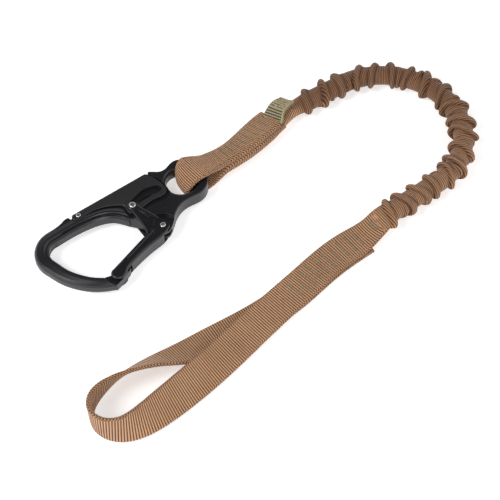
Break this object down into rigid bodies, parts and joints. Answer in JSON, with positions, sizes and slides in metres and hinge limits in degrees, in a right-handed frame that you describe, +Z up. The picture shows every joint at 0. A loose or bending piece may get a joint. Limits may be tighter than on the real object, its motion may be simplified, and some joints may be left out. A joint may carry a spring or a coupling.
{
  "type": "shock absorbing lanyard",
  "caption": "Retention lanyard: palm-lever snap hook on a sewn webbing eye, stretchy section under a gathered webbing cover, and a webbing hand loop.",
  "frame": {"origin": "centre of the hook's bow seat, the round inside of the bow where the load hangs, on the hook's mid plane", "axes": "+X from the bow seat to the webbing eye along the load line, +Y to the palm lever's side, +Z up off the hook's flat face, lying as it rests on a table"},
  "size_m": [0.3869, 0.1784, 0.0289],
  "materials": {
    "hook_body": "black hard anodised forging, satin",
    "gate_rivet": "bright peened head",
    "lever_rivet": "bright peened head",
    "gate": "black hard anodised, satin",
    "lock_pin": "bright peened head",
    "gate_spring": "spring wire",
    "palm_lever": "black, matte",
    "lever_spring": "spring wire",
    "eye_webbing": "woven nylon webbing",
    "eye_stitching": "olive bonded thread",
    "label": null,
    "cover_1": "gathered nylon webbing",
    "cover_2": "gathered nylon webbing",
    "cover_3": "gathered nylon webbing",
    "cover_4": "gathered nylon webbing",
    "cover_5": "gathered nylon webbing",
    "cover_6": "gathered nylon webbing",
    "elastic_core_1": "covered rubber elastic",
    "elastic_core_2": "covered rubber elastic",
    "elastic_core_3": "covered rubber elastic",
    "elastic_core_4": "covered rubber elastic",
    "elastic_core_5": "covered rubber elastic",
    "elastic_core_6": "covered rubber elastic",
    "handle_webbing": "woven nylon webbing",
    "handle_stitching": "olive bonded thread",
    "core_anchor": "olive bonded thread"
  },
  "bodies": {
    "hook": {"hook_body": "hook_body", "gate_rivet": "gate_rivet", "lever_rivet": "lever_rivet", "gate_spring": "gate_spring", "lever_spring": "lever_spring"},
    "gate": {"gate": "gate", "lock_pin": "lock_pin"},
    "lever": {"palm_lever": "palm_lever"},
    "eye_strap": {"eye_webbing": "eye_webbing", "eye_stitching": "eye_stitching", "label": "label"},
    "link_1": {"cover_1": "cover_1", "elastic_core_1": "elastic_core_1"},
    "link_2": {"cover_2": "cover_2", "elastic_core_2": "elastic_core_2"},
    "link_3": {"cover_3": "cover_3", "elastic_core_3": "elastic_core_3"},
    "link_4": {"cover_4": "cover_4", "elastic_core_4": "elastic_core_4"},
    "link_5": {"cover_5": "cover_5", "elastic_core_5": "elastic_core_5"},
    "link_6": {"cover_6": "cover_6", "elastic_core_6": "elastic_core_6"},
    "handle": {"handle_webbing": "handle_webbing", "handle_stitching": "handle_stitching", "core_anchor": "core_anchor"}
  },
  "joints": [
    {"name": "gate_open", "type": "hinge", "parent": "hook", "child": "gate", "pos_m": [0.0703, -0.026, 0], "axis": [0, 0, -1], "range_deg": [0, 45], "stiffness_Nm_per_rad": 0.02, "deforming": ["gate_spring"]},
    {"name": "lever_squeeze", "type": "hinge", "parent": "hook", "child": "lever", "pos_m": [0.026, 0.0186, 0], "axis": [0, 0, -1], "range_deg": [0, 4.4], "deforming": ["lever_spring"]},
    {"name": "eye_swivel", "type": "hinge", "parent": "hook", "child": "eye_strap", "pos_m": [0.1204, 0, 0], "axis": [0, 1, 0], "range_deg": [-30, 30]},
    {"name": "bend_1", "type": "hinge", "parent": "eye_strap", "child": "link_1", "pos_m": [0.205, 0.009, 0], "axis": [0.0035, 0, 1], "range_deg": [-1.5, 17]},
    {"name": "stretch_1", "type": "slide", "parent": "link_1", "child": "link_2", "axis": [0.9979, -0.0645, 0], "range_m": [0, 0.04]},
    {"name": "bend_2", "type": "hinge", "parent": "link_2", "child": "link_3", "pos_m": [0.2974, -0.00903, 0], "axis": [0.0035, 0, 1], "range_deg": [-1.5, 17]},
    {"name": "stretch_2", "type": "slide", "parent": "link_3", "child": "link_4", "axis": [0.0188, -0.9998, 0], "range_m": [0, 0.04]},
    {"name": "bend_3", "type": "hinge", "parent": "link_4", "child": "link_5", "pos_m": [0.30051, -0.09627, 0], "axis": [0.0035, 0, 1], "range_deg": [-1.5, 17]},
    {"name": "stretch_3", "type": "slide", "parent": "link_5", "child": "link_6", "axis": [-1, 0, 0], "range_m": [0, 0.04]},
    {"name": "handle_lift", "type": "hinge", "parent": "link_6", "child": "handle", "pos_m": [0.20682, -0.11359, 0], "axis": [0, 1, 0], "range_deg": [0, 15]}
  ],
  "couplings": [
    {"joint": "lever_squeeze", "follows": "gate_open", "ratio": 0.097778},
    {"joint": "stretch_2", "follows": "stretch_1", "ratio": 1},
    {"joint": "stretch_3", "follows": "stretch_1", "ratio": 1}
  ]
}
